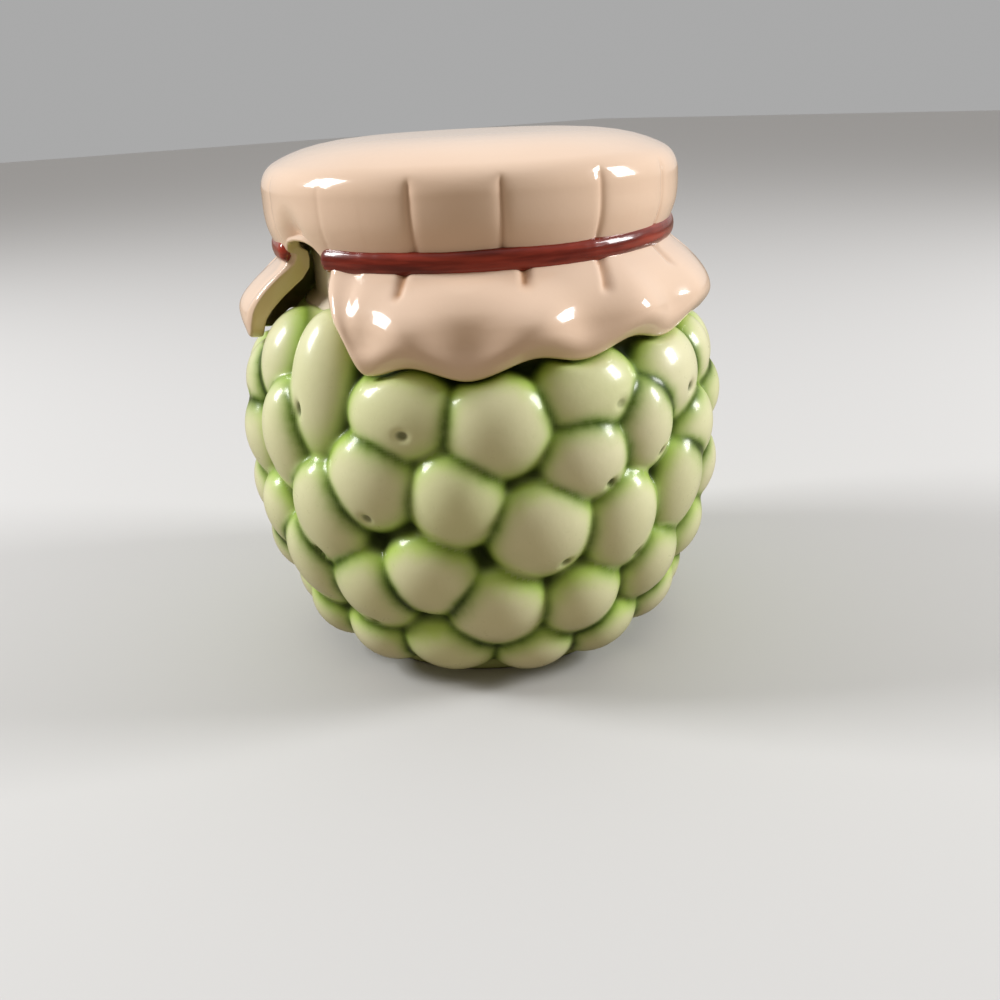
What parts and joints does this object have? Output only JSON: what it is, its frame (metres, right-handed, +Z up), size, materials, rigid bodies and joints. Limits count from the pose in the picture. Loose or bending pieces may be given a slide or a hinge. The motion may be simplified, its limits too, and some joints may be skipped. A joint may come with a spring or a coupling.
{
  "type": "lidded jar",
  "caption": "Round glazed earthenware preserve jar covered with berries in relief, with a lift-off lid moulded as a cord-tied cloth cover, notched for a spoon.",
  "frame": {"origin": "centre of the foot, on the surface that the jar stands on", "axes": "+Z up along the jar's axis; the spoon notch in the lid faces -X"},
  "size_m": [0.1028, 0.1026, 0.1056],
  "materials": {
    "pot_glaze": "high-gloss glaze, plain cream",
    "berry_glaze": "high-gloss glaze, cream green on the berries with deeper green pooled between them",
    "cover_glaze": "high-gloss glaze, pinkish beige",
    "cord_glaze": "glossy hand-painted dark red brown"
  },
  "bodies": {
    "jar": {"jar_body": "pot_glaze", "berry_relief": "berry_glaze"},
    "lid": {"lid_cover": "cover_glaze", "tie_cord": "cord_glaze"}
  },
  "joints": [
    {"name": "lid_lift", "type": "slide", "parent": "jar", "child": "lid", "axis": [0, 0, 1], "range_m": [0, 0.06]}
  ]
}
